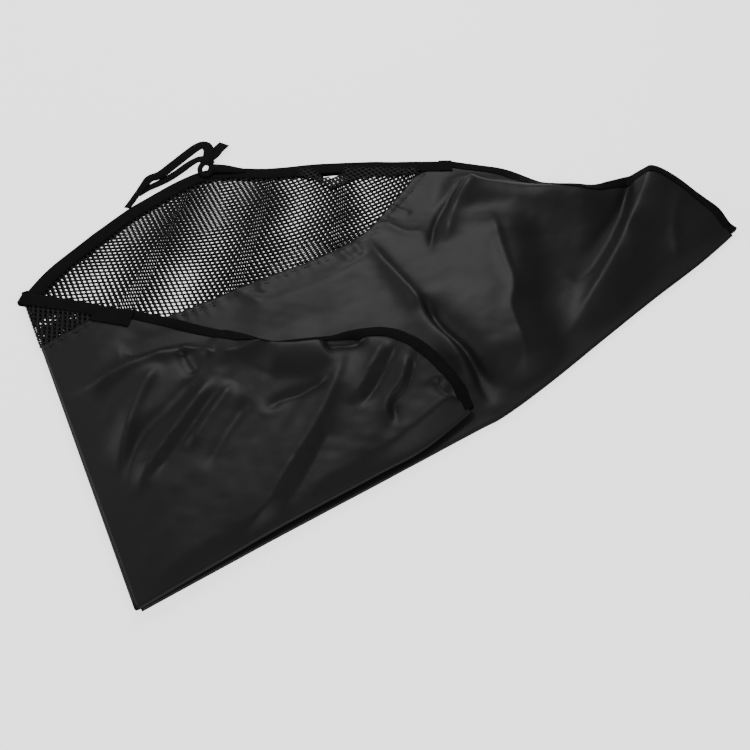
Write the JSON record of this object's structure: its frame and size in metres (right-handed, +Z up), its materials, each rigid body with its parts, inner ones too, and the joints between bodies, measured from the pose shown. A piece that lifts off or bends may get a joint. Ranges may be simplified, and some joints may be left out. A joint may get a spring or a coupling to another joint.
{
  "type": "kayak spray skirt",
  "caption": "Black coated-cloth kayak spray skirt with a mesh end, bound rims and a tie tape, lying folded with one end turned over.",
  "frame": {"origin": "centre of the bottom of the bounding box, on the surface that the folded skirt lies on", "axes": "+X towards the pointed end, +Y from the folded lower edge to the open rim, +Z up"},
  "size_m": [0.8641, 0.6578, 0.0419],
  "materials": {
    "deck_cloth": "satin coated plain weave",
    "netting": "coated square netting",
    "webbing": "matte ribbed webbing",
    "binding": "matte folded binding tape",
    "elastic": "woven flat elastic",
    "tie_tape": "matte woven tape"
  },
  "bodies": {
    "deck": {"back_panel_lower": "deck_cloth", "back_mesh_lower": "netting", "back_hem_lower": "deck_cloth", "back_band_lower": "webbing", "back_binding_lower": "binding", "back_elastic_lower": "elastic", "back_panel_upper": "deck_cloth", "back_mesh_upper": "netting", "back_hem_upper": "deck_cloth", "back_band_upper": "webbing", "back_binding_upper": "binding", "back_elastic_upper": "elastic", "back_draw_tape": "tie_tape", "back_band_end": "webbing", "back_corner_turn": "binding", "tie_knot": "tie_tape"},
    "turned_end": {"flap_panel_inner": "deck_cloth", "flap_mesh_inner": "netting", "flap_hem_inner": "deck_cloth", "flap_band_inner": "webbing", "flap_binding_inner": "binding", "flap_elastic_inner": "elastic", "flap_panel_outer": "deck_cloth", "flap_mesh_outer": "netting", "flap_hem_outer": "deck_cloth", "flap_band_outer": "webbing", "flap_binding_outer": "binding", "flap_elastic_outer": "elastic", "flap_draw_tape": "tie_tape", "flap_band_end": "webbing", "flap_corner_turn": "binding"},
    "tie_loop": {"tie_outer_strand": "tie_tape", "tie_inner_strand": "tie_tape"},
    "tie_tail": {"tie_tail": "tie_tape"}
  },
  "joints": [
    {"name": "end_fold", "type": "hinge", "parent": "deck", "child": "turned_end", "pos_m": [-0.3325, -0.14, 0.0062], "axis": [0.4566, -0.8897, 0], "range_deg": [0, 180]},
    {"name": "tie_loop_swing", "type": "hinge", "parent": "deck", "child": "tie_loop", "pos_m": [-0.2825, 0.243, 0.0045], "axis": [0.7207, 0.6933, 0], "range_deg": [0, 160]},
    {"name": "tie_tail_swing", "type": "hinge", "parent": "deck", "child": "tie_tail", "pos_m": [-0.2425, 0.2855, 0.0016], "axis": [0.7207, 0.6933, 0], "range_deg": [0, 150]}
  ]
}
